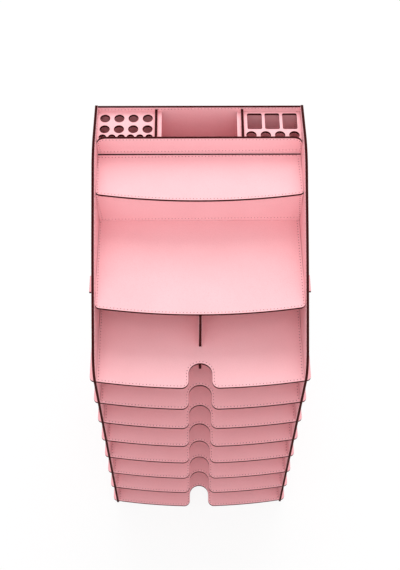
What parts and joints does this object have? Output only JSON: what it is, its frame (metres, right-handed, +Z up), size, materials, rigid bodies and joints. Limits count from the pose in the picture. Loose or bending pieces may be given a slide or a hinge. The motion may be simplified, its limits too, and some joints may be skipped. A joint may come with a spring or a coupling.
{
  "type": "desktop document tower",
  "caption": "Tall stationery tower of leather-clad boards slotted together, with pull-out paper trays, a note shelf, a small top tray and a pen box.",
  "frame": {"origin": "on the ground, under the centre of the tower's outline", "axes": "+X to the right as seen from the front, +Y to the back, +Z up"},
  "size_m": [0.26, 0.3067, 0.5693],
  "materials": {
    "leather_board": "fine-grained pale pink leather on both faces of a thin hardboard, with dark burnt edges and a row of stitches along the front edges"
  },
  "bodies": {
    "root": {"side_panel_left": "leather_board", "side_panel_right": "leather_board", "back_panel": "leather_board", "note_shelf": "leather_board", "step_wall": "leather_board", "top_tray": "leather_board", "pen_box_front": "leather_board", "pen_box_divider_left": "leather_board", "pen_box_divider_right": "leather_board", "pen_plate_left": "leather_board", "pen_plate_right": "leather_board", "centre_divider": "leather_board"},
    "tray_1": {"tray_1": "leather_board"},
    "tray_2": {"tray_2": "leather_board"},
    "tray_3": {"tray_3": "leather_board"},
    "tray_4": {"tray_4": "leather_board"},
    "tray_5": {"tray_5": "leather_board"},
    "tray_6": {"tray_6": "leather_board"},
    "tray_7": {"tray_7": "leather_board"},
    "tray_8": {"tray_8": "leather_board"}
  },
  "joints": [
    {"name": "tray_1_slide", "type": "slide", "parent": "root", "child": "tray_1", "axis": [0, -1, 0], "range_m": [0, 0.058]},
    {"name": "tray_2_slide", "type": "slide", "parent": "root", "child": "tray_2", "axis": [0, -1, 0], "range_m": [0, 0.058]},
    {"name": "tray_3_slide", "type": "slide", "parent": "root", "child": "tray_3", "axis": [0, -1, 0], "range_m": [0, 0.058]},
    {"name": "tray_4_slide", "type": "slide", "parent": "root", "child": "tray_4", "axis": [0, -1, 0], "range_m": [0, 0.058]},
    {"name": "tray_5_slide", "type": "slide", "parent": "root", "child": "tray_5", "axis": [0, -1, 0], "range_m": [0, 0.058]},
    {"name": "tray_6_slide", "type": "slide", "parent": "root", "child": "tray_6", "axis": [0, -1, 0], "range_m": [0, 0.058]},
    {"name": "tray_7_slide", "type": "slide", "parent": "root", "child": "tray_7", "axis": [0, -1, 0], "range_m": [0, 0.058]},
    {"name": "tray_8_slide", "type": "slide", "parent": "root", "child": "tray_8", "axis": [0, -1, 0], "range_m": [0, 0.058]}
  ]
}
